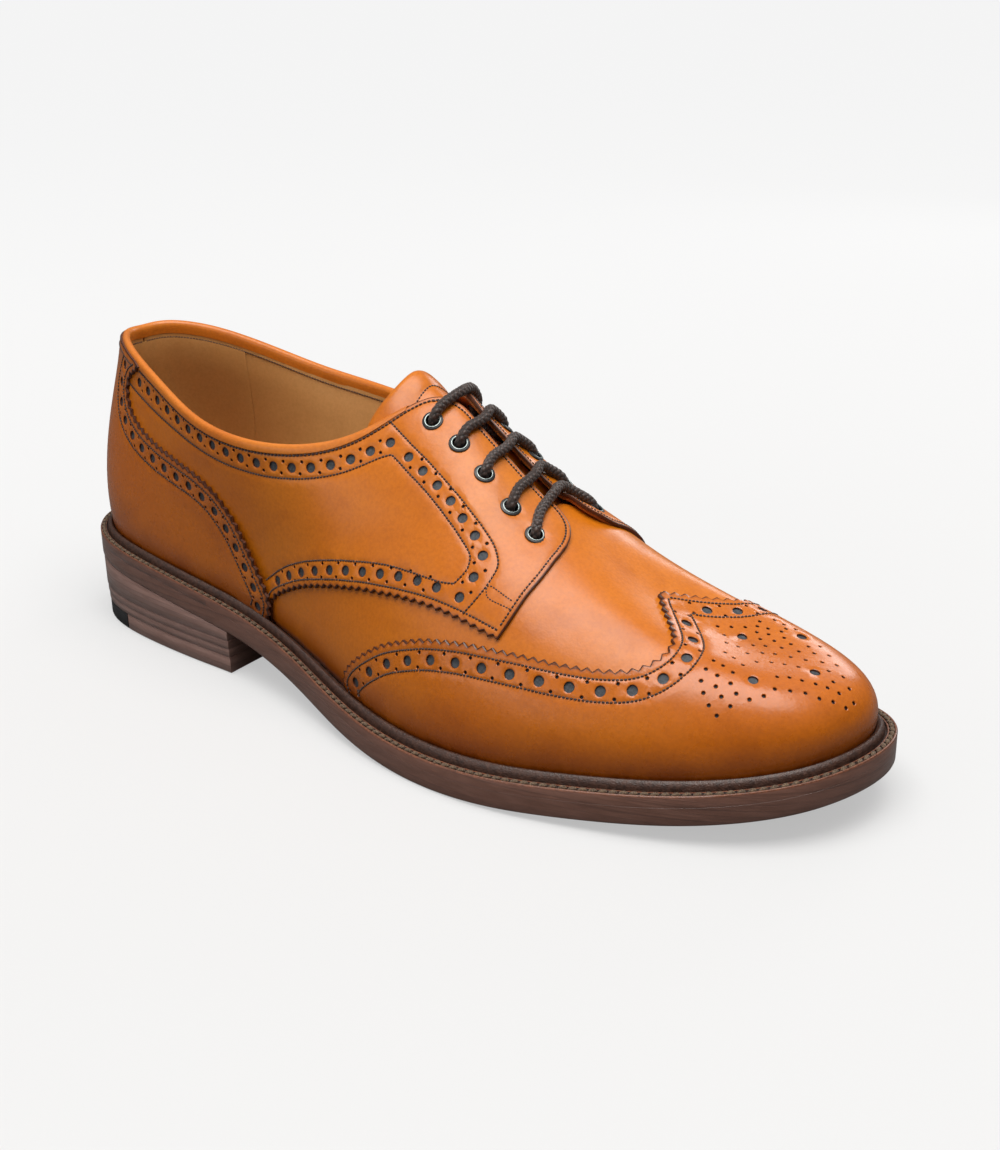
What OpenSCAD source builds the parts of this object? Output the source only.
// Full-brogue derby shoe, right foot: welted construction built from its separate leather, cork,
// rubber, steel and thread pieces.
// Frame: +X from heel to toe, +Y toward the inner (medial) side, +Z up.
// The origin is on the ground under the middle of the heel seat.

/* [Sole] */
// Thickness of the leather outsole, mm
outsole_t = 5.9; // [4:0.1:8]
// Thickness of the storm welt, mm
welt_t = 3.6; // [2.5:0.1:5]
// Insole thickness, mm
insole_t = 2.6; // [2:0.1:4]
// Cork layer between outsole and insole, mm
cork_t = 1.7; // [1:0.1:3]
// Where the flexing forefoot starts, mm ahead of the origin
flex_x = 196; // [180:1:210]

/* [Heel] */
// Front face of the heel block, mm ahead of the origin
breast_x = 53; // [40:1:60]
// Top piece (walking layer) thickness, mm
top_piece_t = 6; // [4:0.5:8]
// Thickness of each full lift, mm
lift_t = 3.1; // [2.5:0.1:5]
// How far the rubber quarter tip reaches forward from the back of the heel, mm
tip_len = 30; // [20:1:40]
// Diameter of the brass heel nails, mm
nail_d = 1.8; // [1.2:0.1:2.5]

/* [Upper] */
// Thickness of the outer leather, mm
upper_t = 1.1; // [0.8:0.1:1.6]
// Thickness of the lining leather, mm
lining_t = 0.85; // [0.6:0.05:1.2]
// Thickness of the heel stiffener and toe puff, mm
stiff_t = 0.6; // [0.4:0.1:1]
// Radius of the folded binding around the topline, mm
binding_r = 1.2; // [0.8:0.1:1.6]

/* [Lacing] */
// Number of eyelets on each facing
eyelet_count = 5; // [4:1:5]
// Outer diameter of an eyelet flange, mm
eyelet_flange_d = 6.4; // [5:0.1:8]
// Bore of an eyelet, mm
eyelet_bore_d = 3.7; // [3.4:0.1:5]
// Lace diameter, mm
lace_d = 2.5; // [2:0.1:3.2]

/* [Welt stitching] */
// Distance between welt stitches, mm
welt_pitch = 5.6; // [3:0.1:8]

/* [Hidden] */
// A place on the last is [station, height]. Stations run round the outline: 0 at the heel back,
// lateral side first, toe at 14, medial side back to 28. Height is 0 at the feather line (bottom
// edge of the last) and 1 at the topline or ridge.
stations = 28;
toe = stations/2;

// Last outline at the welt edge, one point per station: x, y
outline = [
  [-36.7,0], [-31.5,-18.5], [-14.5,-31], [12,-36], [38,-37.5], [63.5,-38.5], [91,-43.5],
  [118.5,-51.5], [147,-57], [175,-57], [200.5,-51.5], [225,-43.5], [246,-33], [262.5,-17.5],
  [270,4], [265,23], [249,36.5], [227.5,44], [203,48], [177,48.5], [151.5,44.5],
  [124,38.5], [97,32], [70,29], [43,29.5], [16,32], [-9,32], [-28.5,20.5]];
// Section controls per station: feather inset, first height, first bulge, second height, second bulge
sections = [
  [6.5,14,3,34,3], [6.5,14,2.7,34,2.2], [6.5,13,2.3,32,0.8], [6.5,12,2.2,28,0],
  [6.5,12,2.3,26,-0.6], [6.8,12,2.5,26,-0.8], [7,12,2.5,30,-1.5], [7.5,12,3,36,-3],
  [8,13,3.5,42,-5], [8,13,4,42,-5], [8,13,4,38,-3.7], [8,12,4,34,-2.5],
  [8,12,4,30,-0.5], [8,12,4,27,0], [8,12,4,25,-0.5], [8,12,4,27,-2.5],
  [8,12,3.5,30,-6], [8,12,3.2,34,-9], [8,13,3.2,38,-9.5], [7.5,13,3.5,42,-8.5],
  [7,13,3.3,42,-7], [6.5,12,3,38,-4], [6,12,2.5,32,-1], [6,12,2.5,28,0.3],
  [6,12,2.5,26,1.3], [6.2,12,2.5,28,1.7], [6.4,13,3,32,2.3], [6.5,14,3.3,34,3]];
// Height of the sole bottom at even steps in x
sole_heights = [24.7, 22.3, 19.7, 15.9, 10.2, 3.7, 0.2, 0.2, 2.2, 5.3, 10.4, 17.5];
sole_start_x = -40;
sole_step = 30;
// Topline and ridge, stations 0 to 14: x, z
topline = [
  [-22,103], [-18,103.3], [-3,100.5], [18,94], [39.5,87], [62,84], [84,84.5], [103.5,90],
  [118.5,100], [132.5,97], [151.5,83], [172,70], [191,58], [207,49], [214,45.5]];
// Half width of the collar, stations 0 to 14
collar_widths = [0, 10.5, 20.5, 27.5, 32.5, 35, 34, 31.5, 29.5, 28.5, 28, 28, 28, 28, 0];
// Pull of the section below the topline, stations 0 to 14: along, out, down
topline_pull = [
  [-3,0,-17], [-2.5,1,-17], [-0.7,0.7,-16], [0.5,0.7,-15], [0.3,1,-15], [0.2,1.7,-14.7],
  [1,3,-13.8], [1.6,6.5,-11.4], [1,11,-8.8], [0,13,-5.5], [-1,12.5,-8.3], [-0.4,13.8,-10],
  [5.7,16.8,-9], [16,14.6,-8.8], [26.4,0,-8]];
// Crease rounding of the ridge: station, amount
ridge_rounding = [[8.4,0], [9,0.42], [10,0.62], [11,0.68], [12,0.5], [13,0.2], [14,0]];
ridge_width = 5;
// The collar closes onto the ridge at this station
collar_end = 9;
// Extra height of the medial topline: amount, centre station, spread in stations
medial_rise = 2.6;
medial_rise_at = 23.6;
medial_rise_spread = 1.45;
// Height just short of the ridge
near_ridge = 0.9995;

// Levels above the sole curve
stack_t = outsole_t + welt_t;
insole_z = outsole_t + cork_t;
sock_z = insole_z + insole_t;
// Levels above the ground
upper_lift_z = top_piece_t + lift_t;
heel_base_z = top_piece_t + 2*lift_t;

leather = [0.80,0.45,0.15];
overlay_leather = [0.74,0.40,0.13];
binding_leather = [0.85,0.52,0.22];
grip_leather = [0.7,0.52,0.35];
lining = [0.76,0.62,0.42];
dark = [0.26,0.14,0.09];
stiffening = [0.7,0.6,0.45];
cork = [0.66,0.48,0.28];
rib_canvas = [0.85,0.8,0.7];
welt_thread = [0.5,0.4,0.3];
steel = [0.6,0.62,0.65];
rubber = [0.1,0.1,0.1];
brass = [0.8,0.65,0.35];
eyelet_metal = [0.12,0.12,0.13];
lace_thread = [0.16,0.12,0.11];
aglet_black = [0.1,0.08,0.08];

// ---- lists and numbers ----
function flatten(list) = [for (part = list) for (item = part) item];
function reversed(list) = [for (i = [len(list)-1:-1:0]) list[i]];
function unit(v) = v / norm(v);
// n + 1 even values from a to b
function steps(a, b, n) = [for (i = [0:n]) a + (b - a)*i/n];
function smooth(a, b, t) = let (s = min(1, max(0, (t - a)/(b - a)))) s*s*(3 - 2*s);

// ---- cubic B-splines that pass through the stations ----
// Control points are weighted sums of the points within filter_reach on either side
filter_reach = 7;
filter = [for (k = [-filter_reach:filter_reach]) sqrt(3)*pow(sqrt(3) - 2, abs(k))];
function controls(points) = let (n = len(points))
  [for (i = [0:n-1])
    filter * [for (k = [-filter_reach:filter_reach]) points[(i + k + n) % n]]];
function value_weights(f) = let (g = 1 - f)
  [g*g*g, 3*f*f*f - 6*f*f + 4, -3*f*f*f + 3*f*f + 3*f + 1, f*f*f] / 6;
function slope_weights(f) = let (g = 1 - f)
  [-g*g, 3*f*f - 4*f, -3*f*f + 2*f + 1, f*f] / 2;
function around(ctrl, i) = let (n = len(ctrl)) [for (k = [-1:2]) ctrl[(i + k + 2*n) % n]];
function spline(ctrl, u) = let (i = floor(u)) value_weights(u - i)*around(ctrl, i);
function spline_slope(ctrl, u) = let (i = floor(u)) slope_weights(u - i)*around(ctrl, i);
// Complete a half table round the toe, with a sign for each column
function both_sides(half, signs) = [for (i = [0:stations-1])
  i <= toe ? half[i] : [for (k = [0:len(signs)-1]) signs[k]*half[stations - i][k]]];

outline_ctrl = controls(outline);
section_ctrl = controls(sections);
topline_ctrl = controls(both_sides(topline, [1, 1]));
collar_ctrl = controls(both_sides([for (w = collar_widths) [w]], [-1]));
pull_ctrl = controls(both_sides(topline_pull, [1, -1, 1]));

// Sole heights continued past both ends by point reflection
sole_last = len(sole_heights) - 1;
function sole_height(i) =
  i < 0 ? 2*sole_heights[0] - sole_heights[-i]
  : i > sole_last ? 2*sole_heights[sole_last] - sole_heights[2*sole_last - i]
  : sole_heights[i];
sole_ctrl = [for (i = [-1:sole_last + 1])
  filter * [for (k = [-filter_reach:filter_reach]) sole_height(i + k)]];
// Height of the sole curve at x
function sole_z(x) = let (
    s = min(sole_last - 0.001, max(0, (x - sole_start_x)/sole_step)),
    i = floor(s))
  value_weights(s - i)*[for (k = [0:3]) sole_ctrl[i + k]];

// ---- the last ----
function wrap(u) = u - stations*floor(u/stations);
// Station folded onto the lateral side
function fold(u) = let (m = wrap(u)) min(m, stations - m);
function outward(u) = let (d = spline_slope(outline_ctrl, u)) [d.y, -d.x]/norm(d);
function edge(u, inset) = spline(outline_ctrl, u) - outward(u)*inset;
function feather_inset(u) = spline(section_ctrl, u)[0];
// Five Bezier points of the section, from the feather line up to the topline
function section_net(u) = let (
    s = spline(section_ctrl, u),
    n = outward(u),
    out = [n.x, n.y, 0],
    foot = edge(u, s[0]),
    half = fold(u),
    m = wrap(u),
    side = m < toe ? -1 : 1,
    bottom = [foot.x, foot.y, sole_z(foot.x) + stack_t],
    top_xz = spline(topline_ctrl, half),
    width = half < collar_end
      ? spline(collar_ctrl, half)[0]*(1 - exp(-0.30*pow(collar_end - half, 2))) : 0,
    pull = spline(pull_ctrl, half),
    rise = m > 19 ? medial_rise*exp(-pow((m - medial_rise_at)/medial_rise_spread, 2)) : 0,
    top = [top_xz.x, side*width, top_xz.y + rise])
  [bottom, bottom + out*s[2] + [0, 0, s[1]], bottom + out*s[4] + [0, 0, s[3]],
   top + [pull.x, side*pull.y, pull.z], top];
function last_point(u, t) = let (
    s = 1 - t,
    p = [s*s*s*s, 4*s*s*s*t, 6*s*s*t*t, 4*s*t*t*t, t*t*t*t]*section_net(u),
    amount = lookup(fold(u), ridge_rounding)*smooth(0.55, 1, t))
  [p.x, p.y, p.z - amount*(sqrt(p.y*p.y + ridge_width*ridge_width) - abs(p.y))];
// [point, outward normal]; the normal has no y part on the ridge
function skin(u, t) = let (
    p = last_point(u, t),
    // at the toe the ridge shrinks to a point, so the slope is taken just below it
    tu = (t > 0.98 && fold(u) > toe - 0.1) ? 0.98 : t,
    along = last_point(u + 0.02, tu) - last_point(u, tu),
    up = t > 0.98 ? p - last_point(u, t - 0.01) : last_point(u, t + 0.01) - p,
    n = cross(along, up),
    flat_n = (t > 0.999 && fold(u) > 8.9) ? [n.x, 0, n.z] : n)
  [p, unit(flat_n)];
function at(u, t, offset) = let (s = skin(u, t)) s[0] + s[1]*offset;
// [outer, inner] points of a layer whose inner face is offset from the last
function layer(u, t, offset, thick) = let (s = skin(u, t))
  [s[0] + s[1]*(offset + thick), s[0] + s[1]*offset];

// ---- lines on the last: lists of [station, height] ----
function side_station(u, is_medial) = is_medial ? stations - u : u;
function sided(line, is_medial) =
  is_medial ? [for (p = reversed(line)) [stations - p[0], p[1]]] : line;
// Table with the same value at every station
function level(value) = [[0, value], [toe, value]];
// Line at one height round the heel, reach stations to each side
function heel_line(reach, n, height) = [for (u = steps(-reach, reach, n)) [u, height]];
// Nominal mm per station and per unit of height, used to space points evenly
line_scale = [18, 60];
function run_lengths(line, i = 0, total = 0) = i >= len(line) - 1 ? [total] : let (
    d = line[i + 1] - line[i])
  concat([total], run_lengths(line, i + 1, total + norm([d[0]*line_scale[0], d[1]*line_scale[1]])));
function resample(line, n) = let (
    runs = run_lengths(line),
    last = len(line) - 1,
    us = [for (i = [0:last]) [runs[i], line[i][0]]],
    ts = [for (i = [0:last]) [runs[i], line[i][1]]])
  [for (k = [0:n]) let (s = runs[last]*k/n) [lookup(s, us), lookup(s, ts)]];

// ---- mesh builders ----
function quad(a, b, c, d) = [[a, b, c], [a, c, d]];
// Closed solid between two grids of n rows by m columns, given as [outer, inner] point pairs.
// Where joined is true, a row in the second half shares its last point with its mirror row.
module sheet(pairs, n, m, joined = []) {
  K = n*m;
  function id(i, j) = (j == m - 1 && joined[i] && i > (n - 1)/2) ? (n - 1 - i)*m + j : i*m + j;
  polyhedron(concat([for (p = pairs) p[0]], [for (p = pairs) p[1]]), flatten(concat(
    [for (i = [0:n-2]) for (j = [0:m-2])
      quad(id(i, j), id(i, j+1), id(i+1, j+1), id(i+1, j))],
    [for (i = [0:n-2]) for (j = [0:m-2])
      quad(K + id(i, j), K + id(i+1, j), K + id(i+1, j+1), K + id(i, j+1))],
    [for (i = [0:n-2])
      quad(id(i, 0), id(i+1, 0), K + id(i+1, 0), K + id(i, 0))],
    [for (i = [0:n-2]) if (!(joined[i] && joined[i+1]))
      quad(id(i+1, m-1), id(i, m-1), K + id(i, m-1), K + id(i+1, m-1))],
    [for (j = [0:m-2])
      quad(id(0, j+1), id(0, j), K + id(0, j), K + id(0, j+1))],
    [for (j = [0:m-2])
      quad(id(n-1, j), id(n-1, j+1), K + id(n-1, j+1), K + id(n-1, j))])), convexity = 8);
}
// Leather panel ruled between two lines on the last; offsets is a table of [station, offset]
module panel(lower, upper, rows, offsets, thick) {
  n = len(lower);
  sheet([for (i = [0:n-1]) for (j = [0:rows])
    let (p = lower[i] + (upper[i] - lower[i])*j/rows)
    layer(p[0], p[1], lookup(fold(p[0]), offsets), thick)], n, rows + 1);
}
// Panel round the toe between two height tables; the sides meet where the upper one is 1
module toe_panel(us, lower, upper, rows, offset, thick) {
  tops = [for (u = us) lookup(fold(u), upper)];
  sheet([for (i = [0:len(us)-1]) for (j = [0:rows])
    let (low = lookup(fold(us[i]), lower))
    layer(us[i], low + (tops[i] - low)*j/rows, offset, thick)],
    len(us), rows + 1, [for (t = tops) t > near_ridge]);
}
// Station between a and b where the inset outline crosses x, by bisection
function station_at(x, inset, a, b, k = 15) = let (mid = (a + b)/2)
  k == 0 ? mid
  : edge(mid, inset).x < x ? station_at(x, inset, mid, b, k - 1)
  : station_at(x, inset, a, mid, k - 1);
// Slab levels are [share of the sole curve, height]
function above_sole(z) = [1, z];
function above_ground(z) = [0, z];
// Layer of the sole stack inside the outline, cut square at x0 and x1
module slab(inset, x0, x1, bottom, top, nx, ny) {
  xs = [for (i = [0:nx]) x0 + (x1 - x0)*(1 - cos(180*i/nx))/2];
  sheet([for (x = xs) let (
      z = sole_z(x),
      y0 = edge(station_at(x, inset, 0, toe), inset).y,
      y1 = edge(station_at(x, inset, stations, toe), inset).y)
    for (y = steps(y0, y1, ny))
      [[x, y, top[0]*z + top[1]], [x, y, bottom[0]*z + bottom[1]]]], nx + 1, ny + 1);
}
// Closed ring along the outline; section points are
// [inset from the edge, share of the feather inset, height above the sole curve]
module ring(section, n) {
  m = len(section);
  points = [for (i = [0:n-1]) let (u = stations*i/n, feather = feather_inset(u))
    for (s = section) let (p = edge(u, s[0] + s[1]*feather)) [p.x, p.y, sole_z(p.x) + s[2]]];
  polyhedron(points, flatten([for (i = [0:n-1]) for (j = [0:m-1])
    let (a = (i + 1) % n, b = (j + 1) % m)
    quad(i*m + j, i*m + b, a*m + b, a*m + j)]), convexity = 10);
}
// Catmull-Rom curve through the points, k steps to a span
function curve_point(P, i, f) = let (
    a = P[max(0, i - 1)], b = P[i], c = P[i + 1], d = P[min(len(P) - 1, i + 2)])
  0.5*(2*b + (c - a)*f + (2*a - 5*b + 4*c - d)*f*f + (3*b - 3*c + d - a)*f*f*f);
function curve(P, k) = concat(
  [for (i = [0:len(P)-2]) for (j = [0:k-1]) curve_point(P, i, j/k)], [P[len(P)-1]]);
// [point, normal, binormal] along a path, each normal carried on from the one before
function frames(path, i, before) = i >= len(path) ? [] : let (
    t = unit(path[min(len(path) - 1, i + 1)] - path[max(0, i - 1)]),
    n = unit(before - t*(before*t)))
  concat([[path[i], n, cross(t, n)]], frames(path, i + 1, n));
// Round cord with m sides along a path
module cord(path, r, m) {
  rings = frames(path, 0, [0, 0, 1]);
  n = len(rings);
  points = [for (f = rings) for (j = [0:m-1])
    f[0] + f[1]*r*cos(360*j/m) - f[2]*r*sin(360*j/m)];
  polyhedron(points, concat(
    flatten([for (i = [0:n-2]) for (j = [0:m-1]) let (q = (j + 1) % m)
      quad(i*m + j, i*m + q, (i+1)*m + q, (i+1)*m + j)]),
    [[for (j = [m-1:-1:0]) j]],
    [[for (j = [0:m-1]) (n-1)*m + j]]), convexity = 10);
}
// Place children with +Z on the outward normal of the last and +X along the stations
module on_last(u, t, offset = 0) {
  s = skin(u, t);
  z = s[1];
  along = last_point(u + 0.02, t) - s[0];
  x = unit(along - z*(along*z));
  y = cross(z, x);
  p = s[0] + z*offset;
  multmatrix([[x.x, y.x, z.x, p.x], [x.y, y.y, z.y, p.y], [x.z, y.z, z.z, p.z], [0, 0, 0, 1]])
    children();
}

// ---- pattern lines, lateral side: [station, height] ----
quarter_low = [
  [0.1,0.012], [2,0.012], [4,0.012], [5.2,0.014], [5.28,0.14], [5.5,0.27], [5.95,0.4],
  [6.5,0.46], [7,0.48], [7.5,0.475], [8,0.46], [8.75,0.435], [9.22,0.42]];
quarter_top = [
  [0.1,0.965], [2,0.965], [4,0.965], [6,0.965], [7.45,0.965], [8.0,0.89], [8.5,0.78],
  [9.0,0.67], [9.6,0.545], [9.62,0.53]];
quarter_lining_low = [[0.06,0.02], [4,0.02], [8.5,0.02]];
quarter_lining_top = [[0.06,0.965], [3.7,0.965], [7.45,0.965], [8.5,0.62], [8.5,0.52]];
facing_rear = [[7.6,1], [8.1,0.89], [8.6,0.78], [9.1,0.67], [9.68,0.55]];
facing_front = [
  [7.75,1], [8.35,1], [8.8,0.965], [9.3,0.965], [9.8,0.965], [10.35,0.965], [10.68,0.955],
  [10.84,0.92], [10.8,0.85], [10.55,0.76], [10.12,0.64], [9.76,0.56]];
facing_lining_rear = [[7.78,0.955], [8.25,0.86], [8.7,0.765], [9.1,0.68], [9.3,0.635]];
facing_lining_front = [
  [7.95,0.965], [8.35,0.965], [8.8,0.94], [9.3,0.94], [9.8,0.94], [10.3,0.935],
  [10.36,0.9], [10.25,0.84], [10.0,0.77], [9.7,0.71], [9.4,0.65]];
foxing_top = [
  [0,0.965], [1.95,0.965], [2.12,0.76], [2.6,0.7], [3.1,0.685], [4,0.695], [4.35,0.665],
  [4.65,0.6], [4.9,0.49], [5.1,0.36], [5.28,0.2], [5.3,0.04]];
wing_top = [
  [6.76,0.12], [6.96,0.24], [7.4,0.32], [7.95,0.362], [8.5,0.38], [9.1,0.39], [10.1,0.415],
  [10.6,0.435], [11,0.465], [11.4,0.525], [11.9,0.63], [12.3,0.75], [12.5,0.84], [12.52,1],
  [14,1]];
vamp_top = [
  [5.15,0.16], [5.3,0.22], [5.6,0.38], [6,0.48], [6.5,0.53], [7,0.55], [8,0.53], [9,0.5],
  [9.25,0.5], [9.6,0.55], [10,0.63], [10.3,0.72], [10.45,0.8], [10.6,0.93], [10.7,1], [14,1]];
vamp_lining_top = [
  [8.62,0.5], [9.5,0.6], [10.2,0.66], [10.8,0.72], [11.3,0.82], [11.55,1], [14,1]];
toe_puff_top = [[11.86,0.7], [12.17,0.85], [12.47,1], [14,1]];
tongue_low = [[9,0.64], [10,0.7], [10.6,0.8], [11.25,0.88]];
// Eyelet centres, from the topline down
eyelet_places = [[8.25,0.884], [8.8,0.83], [9.32,0.805], [9.77,0.78], [10.14,0.754]];
// Offset from the last by station, stepping outward over the piece beneath
quarter_offsets = [[0,-1.2], [4.2,-1.2], [5.0,0.25], [14,0.25]];
foxing_offsets = [[0,0.25], [3.5,0.25], [4.4,1.5], [6,1.5]];

// ---- sole unit ----
outsole_back_x = -36.66;
outsole_toe_x = 270.1;
// Half the cut between the two outsole parts, and the cut behind the rubber tip
cut = 0.1;
module outsole_part(x0, x1, nx) slab(0, x0, x1, above_sole(0), above_sole(outsole_t), nx, 5);
module outsole_rear() color(dark) outsole_part(outsole_back_x, flex_x - cut, 32);
module outsole_fore() color(dark) outsole_part(flex_x + cut, outsole_toe_x, 18);

// Flat strip with a raised ridge just outside the feather line
welt_low = outsole_t + 0.06;
welt_high = stack_t - 0.15;
ridge_outer = -5.3;
module welt() color(dark) ring([
  [0, 0, welt_low], [0, 0, welt_high], [ridge_outer, 1, welt_high],
  [-5.1, 1, stack_t + 1.7], [-4.45, 1, stack_t + 2.3], [-3.8, 1, stack_t + 1.7],
  [-3.6, 1, welt_high], [3.3, 1, welt_high], [3.3, 1, welt_low]], 84);

stitch_run = 560;
stitch = [3.2, 0.56, 0.5];
// Stitches midway between the welt edge and its ridge
module welt_stitching() color(welt_thread) {
  n = floor(stitch_run/welt_pitch);
  for (i = [0:n-1])
    let (
      u = stations*(i + 0.5)/n,
      p = edge(u, (feather_inset(u) + ridge_outer)*0.5),
      d = spline_slope(outline_ctrl, u),
      heading = atan2(d.y, d.x),
      z = sole_z(p.x))
    translate([p.x, p.y, z + stack_t - 0.06])
      rotate([0, 0, heading])
        rotate([0, -atan(sole_z(p.x + cos(heading)) - z), 0])
          translate([-stitch.x/2, -stitch.y/2, 0]) cube(stitch);
}
module insole() color(lining)
  slab(13.2, -22.9, 255.8, above_sole(insole_z + 0.02), above_sole(sock_z), 28, 5);

rib_inset = [3.45, 5.2];
rib_low = outsole_t + 0.08;
rib_high = insole_z - 0.12;
module insole_rib() color(rib_canvas) ring([
  [rib_inset[0], 1, rib_low], [rib_inset[0], 1, rib_high],
  [rib_inset[1], 1, rib_high], [rib_inset[1], 1, rib_low]], 60);
module cork_filler() color(cork)
  slab(14.2, 118, 254.5, above_sole(outsole_t + 0.14), above_sole(insole_z - 0.06), 18, 4);

shank_x = [8, 112];
shank_y = [-8.5, 5.5];
// Levels above the top of the outsole
shank_z = [0.15, 1.5];
module shank() color(steel)
  sheet([for (x = steps(shank_x[0], shank_x[1], 16)) let (z = sole_z(x) + outsole_t)
    for (y = shank_y) [[x, y, z + shank_z[1]], [x, y, z + shank_z[0]]]], 17, 2);
module heel_sock() color(lining)
  slab(14.5, -21.5, 92, above_sole(sock_z + 0.08), above_sole(sock_z + 0.8), 14, 4);

// ---- heel: each layer is inset a little more than the one above ----
joint_gap = 0.05;
// Back of the heel layers before their inset
heel_back_x = -36.6;
top_piece_inset = 1;
tip_back_x = heel_back_x + top_piece_inset;
tip_front_x = tip_back_x + tip_len;
module lift(inset, front_x, z) slab(inset, heel_back_x + inset, front_x,
  above_ground(z + joint_gap), above_ground(z + lift_t), 20, 1);
module top_layer(x0, x1, nx)
  slab(top_piece_inset, x0, x1, above_ground(0), above_ground(top_piece_t), nx, 1);
module heel_base() color(dark) slab(0.4, heel_back_x + 0.4, breast_x,
  above_ground(heel_base_z + joint_gap), above_sole(-joint_gap), 18, 3);
module heel_lift_upper() color(dark) lift(0.6, breast_x - 0.4, upper_lift_z);
module heel_lift_lower() color(dark) lift(0.8, breast_x - 0.8, top_piece_t);
module heel_top_piece() color(dark) top_layer(tip_front_x + cut, breast_x - 1.2, 16);
module heel_rubber_tip() color(rubber) top_layer(tip_back_x, tip_front_x, 18);

// Nail centres: x, y
nails = [[-22,-12], [-22,12], [-27,0], [-10,-20], [-10,20], [10,-24], [10,22], [30,-25],
  [30,20], [44,-14], [44,8]];
module heel_nails() color(brass)
  for (p = nails)
    translate([p.x, p.y, 0.4]) cylinder(h = heel_base_z - 1, d = nail_d, $fn = 24);

// ---- inside stiffening and lining ----
module heel_stiffener() color(stiffening) panel(
  lower = heel_line(5, 28, 0.02),
  upper = [for (u = steps(-5, 5, 28)) [u, 0.62 - 0.22*smooth(3.2, 5, abs(u))]],
  rows = 6, offsets = level(-2.0), thick = stiff_t - 0.1);

// The toe pieces share one station spacing, counted in steps to each side of the toe
vamp_steps = 29;
toe_step = 8.85/vamp_steps;
function toe_span(k) = steps(toe - k*toe_step, toe + k*toe_step, 2*k);
module toe_puff() color(stiffening) toe_panel(toe_span(7), level(0.125), toe_puff_top,
  rows = 7, offset = -1.95, thick = stiff_t - 0.25);

module quarter_lining(is_medial) color(lining) panel(
  lower = sided(resample(quarter_lining_low, 22), is_medial),
  upper = sided(resample(quarter_lining_top, 22), is_medial),
  rows = 6, offsets = level(-3.1), thick = lining_t);
module quarter_lining_lateral() quarter_lining(false);
module quarter_lining_medial() quarter_lining(true);
module vamp_lining() color(lining) toe_panel(toe_span(18), level(0.02), vamp_lining_top,
  rows = 8, offset = -3.45, thick = lining_t - 0.05);
module heel_grip() color(grip_leather) panel(
  lower = heel_line(2.6, 14, 0.2), upper = heel_line(2.6, 14, 0.93),
  rows = 5, offsets = level(-4.05), thick = 0.6);

// ---- upper ----
module vamp() color(leather) toe_panel(toe_span(vamp_steps), level(0.006), vamp_top,
  rows = 8, offset = -1.2, thick = upper_t);
// Rows break on both sides of the jump to the ridge in wing_top
module wingtip() color(overlay_leather) toe_panel(
  concat(steps(6.76, 12.5, 22), steps(12.52, 15.48, 14), steps(15.5, 21.24, 22)),
  level(0.016), wing_top, rows = 7, offset = 0.46, thick = upper_t - 0.16);

module quarter(is_medial) color(leather) panel(
  lower = sided(resample(quarter_low, 28), is_medial),
  upper = sided(resample(quarter_top, 28), is_medial),
  rows = 8, offsets = quarter_offsets, thick = upper_t);
module quarter_lateral() quarter(false);
module quarter_medial() quarter(true);

// Foxing top edge from the medial end round the heel to the lateral end
foxing_edge = resample(
  concat([for (p = reversed(foxing_top)) if (p[0] > 0) [-p[0], p[1]]], foxing_top), 48);
module heel_foxing() color(overlay_leather) panel(
  lower = [for (p = foxing_edge) [p[0], 0.016]], upper = foxing_edge,
  rows = 7, offsets = foxing_offsets, thick = upper_t);

function eyelet_place(i, is_medial) =
  [side_station(eyelet_places[i][0], is_medial), eyelet_places[i][1]];
// Children at each eyelet of one facing
module at_eyelets(is_medial)
  for (i = [0:eyelet_count-1])
    let (e = eyelet_place(i, is_medial)) on_last(e[0], e[1]) children();
module eyelet_holes(is_medial, start) at_eyelets(is_medial)
  translate([0, 0, start]) cylinder(h = 5, d = eyelet_bore_d + 0.9, $fn = 32);
module facing(is_medial) color(leather) difference() {
  panel(sided(resample(facing_rear, 20), is_medial), sided(resample(facing_front, 20), is_medial),
    rows = 6, offsets = level(0.25), thick = upper_t);
  eyelet_holes(is_medial, -2);
}
module facing_lateral() facing(false);
module facing_medial() facing(true);
module facing_lining(is_medial) color(lining) difference() {
  panel(sided(resample(facing_lining_rear, 16), is_medial),
    sided(resample(facing_lining_front, 16), is_medial),
    rows = 5, offsets = level(-1.1), thick = 1);
  eyelet_holes(is_medial, -3);
}
module facing_lining_lateral() facing_lining(false);
module facing_lining_medial() facing_lining(true);

module topline_binding() color(binding_leather)
  cord([for (u = steps(-7.4, 7.4, 72)) at(u, 1, -0.9) + [0, 0, 0.1]], binding_r, 6);

// Tongue: follows the last under the facings, then runs straight on above the topline.
// s runs from -1 at the lateral edge to 1 at the medial edge.
tongue_leave = 9;
tongue_end = 11.2;
function tongue_at(u, s, offset) = let (
    v = max(u, tongue_leave),
    t = 1 - abs(s)*(1 - lookup(v, tongue_low)),
    o = offset + 3.1*smooth(10.35, tongue_end, u),
    p = at(side_station(v, s > 0), t, o))
  u >= tongue_leave ? p : let (
    mid = at(tongue_leave, near_ridge, o),
    ahead = at(tongue_leave + 0.9, near_ridge, o),
    k = tongue_leave - u,
    d = p - mid)
  mid + (mid - ahead)*(k/0.9) + [d.x, d.y*(1 - 0.24*k), d.z*(1 + 0.25*k)];
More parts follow.
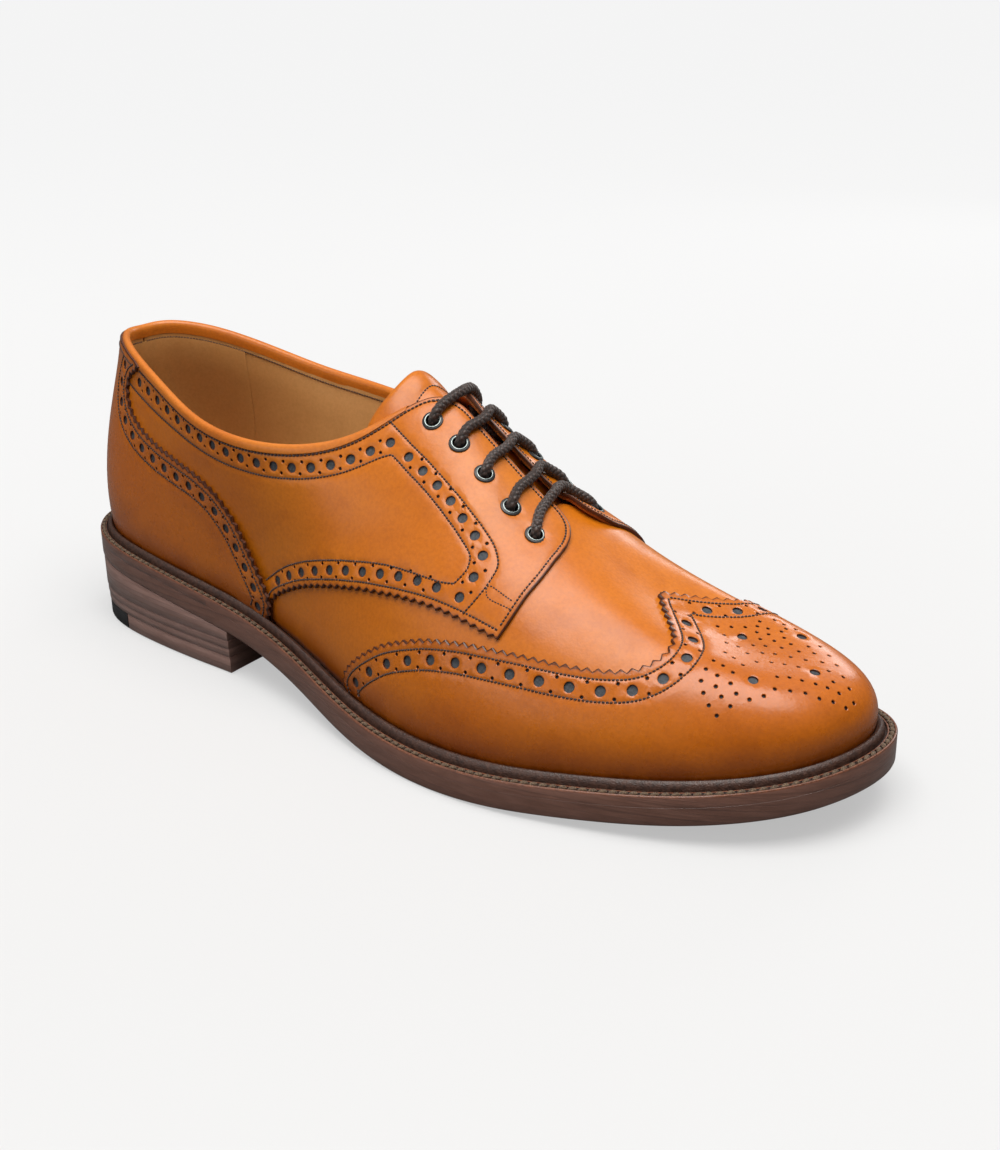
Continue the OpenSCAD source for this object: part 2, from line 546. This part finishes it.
// start is the station of the free end, whose corners are rounded
module tongue_layer(offset, thick, start)
  sheet([for (u = steps(start, tongue_end, 18)) for (s = steps(-1, 1, 14))
    let (w = u + 0.75*pow(abs(s), 3)*(1 - (u - start)/(tongue_end - start)))
    [tongue_at(w, s, offset + thick), tongue_at(w, s, offset)]], 19, 15);
module tongue() color(leather) tongue_layer(-7.1, upper_t, 7.9);
module tongue_lining() color(lining) tongue_layer(-8.15, lining_t, 7.94);

// ---- lacing ----
module eyelet() color(eyelet_metal) rotate_extrude($fn = 48) {
  bore = eyelet_bore_d/2;
  barrel = bore + 0.3;
  flange = eyelet_flange_d/2;
  polygon([[bore, -1.6], [barrel, -1.6], [barrel, 1.55], [flange - 0.2, 1.55],
    [flange, 1.75], [flange - 0.3, 2.05], [bore + 0.4, 2.1], [bore, 1.7]]);
}
module eyelets_lateral() at_eyelets(false) eyelet();
module eyelets_medial() at_eyelets(true) eyelet();

// Lace up through an eyelet and over the facing toward the ridge
function half_bar(i, is_medial) = let (e = eyelet_place(i, is_medial)) concat(
  [for (offset = [-2.9, -0.6, 2.1]) at(e[0], e[1], offset)],
  [for (f = [0.16, 0.45, 0.8]) at(e[0], e[1] + (1 - e[1])*f, f < 0.3 ? 3.9 : 3.7)]);
// Straight bar from one side across the ridge to the other
function bar(i, is_medial) = concat(
  half_bar(i, is_medial),
  [at(eyelet_place(i, is_medial)[0], near_ridge, 3.5)],
  reversed(half_bar(i, !is_medial)));
// Run beneath a facing to the next eyelet
function under(i, is_medial) = let (
    a = eyelet_place(i, is_medial),
    b = eyelet_place(i + 1, is_medial))
  [for (f = [0.25, 0.5, 0.75]) let (p = a + (b - a)*f) at(p[0], p[1], -3.35)];
// Free ends, outer point first
top_tail = [at(8.62, 0.845, -3.3), at(8.46, 0.862, -3.3)];
bottom_tail = [at(18.05, 0.77, -3.3), at(17.93, 0.763, -3.3)];
last_bar = len(eyelet_places) - 1;
lace_path = concat(
  top_tail,
  flatten([for (i = [0:last_bar])
    concat(bar(i, i % 2 == 1), i < last_bar ? under(i, i % 2 == 0) : [])]),
  reversed(bottom_tail));
module lace() color(lace_thread) cord(curve(lace_path, 2), lace_d/2, 6);
module aglets() color(aglet_black) {
  cord([top_tail[0], at(8.85, 0.80, -3.4)], lace_d/2 + 0.1, 12);
  cord([bottom_tail[0], at(18.32, 0.80, -3.4)], lace_d/2 + 0.1, 12);
}

// Two rows of five short tacks at the lower end of each facing
tack = [0.7, 0.5, 0.3];
module bar_tacks() color(dark)
  for (is_medial = [false, true]) for (k = [0:4]) for (row = [0, 1])
    on_last(side_station(9.14 + 0.05*k, is_medial), 0.515 - 0.03*row, 1.42)
      translate([-tack.x/2, -tack.y/2, 0]) cube(tack);

outsole_rear();
outsole_fore();
welt();
welt_stitching();
insole();
insole_rib();
cork_filler();
shank();
heel_sock();
heel_base();
heel_lift_upper();
heel_lift_lower();
heel_top_piece();
heel_rubber_tip();
heel_nails();
heel_stiffener();
toe_puff();
quarter_lining_lateral();
quarter_lining_medial();
vamp_lining();
heel_grip();
vamp();
wingtip();
quarter_lateral();
quarter_medial();
heel_foxing();
facing_lateral();
facing_medial();
facing_lining_lateral();
facing_lining_medial();
topline_binding();
tongue();
tongue_lining();
eyelets_lateral();
eyelets_medial();
lace();
aglets();
bar_tacks();
